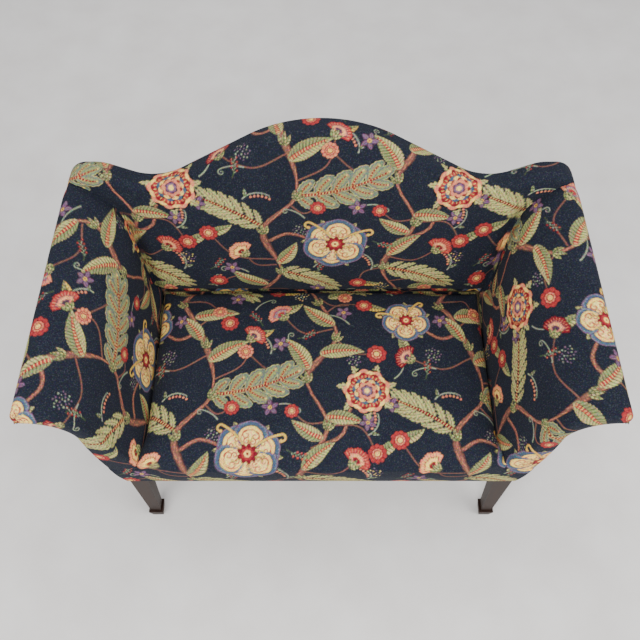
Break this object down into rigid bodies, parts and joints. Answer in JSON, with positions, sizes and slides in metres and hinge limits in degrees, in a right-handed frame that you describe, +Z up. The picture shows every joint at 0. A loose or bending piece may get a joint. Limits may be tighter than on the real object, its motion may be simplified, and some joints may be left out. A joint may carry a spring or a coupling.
{
  "type": "camelback settee",
  "caption": "Small upholstered camelback settee with a serpentine crest, outward rolled arms, a tight seat and square tapered legs on spade feet.",
  "frame": {"origin": "on the floor, midway across the overall width and depth", "axes": "+Z up, front towards -Y, +X to the right seen from the front"},
  "size_m": [1.3256, 0.6599, 0.9528],
  "materials": {
    "tapestry": "woven tapestry, navy ground with a floral of sage, cream, coral and rust",
    "mahogany": "dark stained and polished",
    "frame_wood": "sawn hardwood",
    "padding": "felted padding",
    "webbing": "jute webbing",
    "hessian": "jute hessian",
    "dust_cloth": "black cambric",
    "screw_steel": "zinc plated"
  },
  "bodies": {
    "root": {"arm_dowels": "frame_wood", "arm_front_board_left": "frame_wood", "arm_front_board_right": "frame_wood", "arm_lining_left": "hessian", "arm_lining_right": "hessian", "arm_low_rail_left": "frame_wood", "arm_low_rail_right": "frame_wood", "arm_pad_left": "padding", "arm_pad_right": "padding", "arm_top_rail_left": "frame_wood", "arm_top_rail_right": "frame_wood", "back_leg_left": "mahogany", "back_leg_right": "mahogany", "back_low_rail": "frame_wood", "back_pad": "padding", "back_seat_rail": "frame_wood", "back_upright": "frame_wood", "back_webbing": "webbing", "corner_block_back_left": "frame_wood", "corner_block_back_right": "frame_wood", "corner_block_front_left": "frame_wood", "corner_block_front_right": "frame_wood", "corner_block_screws": "screw_steel", "crest_rail": "frame_wood", "dust_cover": "dust_cloth", "front_leg_left": "mahogany", "front_leg_right": "mahogany", "front_seat_rail": "frame_wood", "inside_arm_cover_left": "tapestry", "inside_arm_cover_right": "tapestry", "inside_back_cover": "tapestry", "outside_arm_cover_left": "tapestry", "outside_arm_cover_right": "tapestry", "outside_back_cover": "tapestry", "seat_brace": "frame_wood", "seat_cover": "tapestry", "seat_hessian": "hessian", "seat_pad": "padding", "seat_webbing": "webbing", "side_seat_rail_left": "frame_wood", "side_seat_rail_right": "frame_wood"}
  },
  "joints": []
}
